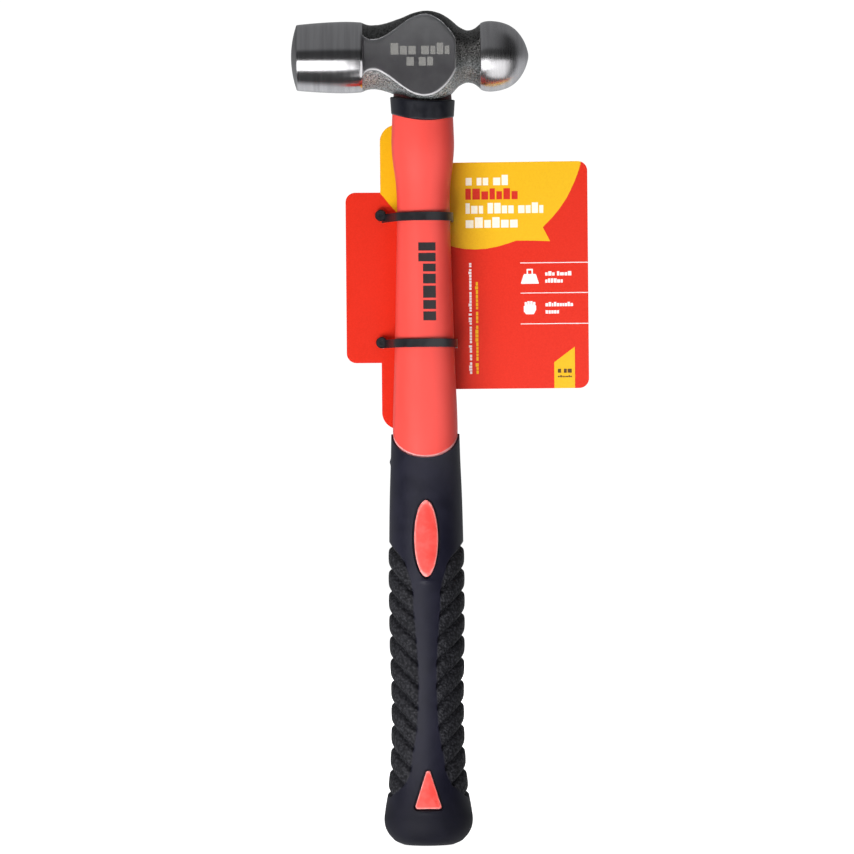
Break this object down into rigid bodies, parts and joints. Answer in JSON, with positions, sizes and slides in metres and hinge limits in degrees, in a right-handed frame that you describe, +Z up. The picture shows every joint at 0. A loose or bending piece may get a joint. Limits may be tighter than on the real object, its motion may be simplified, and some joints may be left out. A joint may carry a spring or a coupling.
{
  "type": "ball peen hammer",
  "caption": "Ball peen hammer with a forged steel head, a red fibreglass-cored handle, a black ribbed soft grip, a rubber collar, and a printed hang card tied to the shaft.",
  "frame": {"origin": "middle of the flat end of the butt, on the handle's axis", "axes": "+Z up the handle from the butt to the head, +X along the head from the striking face to the ball, -Y out of the front cheek"},
  "size_m": [0.1032, 0.0272, 0.29],
  "materials": {
    "forged_steel": "polished poll and ball, satin cheeks, rough forged necks",
    "fibreglass": "pultruded glass rod, resin rich",
    "eye_resin": "cast epoxy",
    "red_plastic": "moulded, soft gloss",
    "black_grip": "soft moulded grip, fine spark texture between smooth bands",
    "collar_rubber": "smooth satin rubber",
    "card_print": "coated board, printed red and yellow",
    "tie_plastic": "moulded nylon"
  },
  "bodies": {
    "hammer": {"head": "forged_steel", "eye_resin": "eye_resin", "core": "fibreglass", "jacket": "red_plastic", "collar": "collar_rubber", "grip": "black_grip"},
    "card": {"card": "card_print", "upper_tie": "tie_plastic", "lower_tie": "tie_plastic"}
  },
  "joints": [
    {"name": "card_slide", "type": "slide", "parent": "hammer", "child": "card", "axis": [0, 0, 1], "range_m": [-0.004, 0.004]}
  ]
}
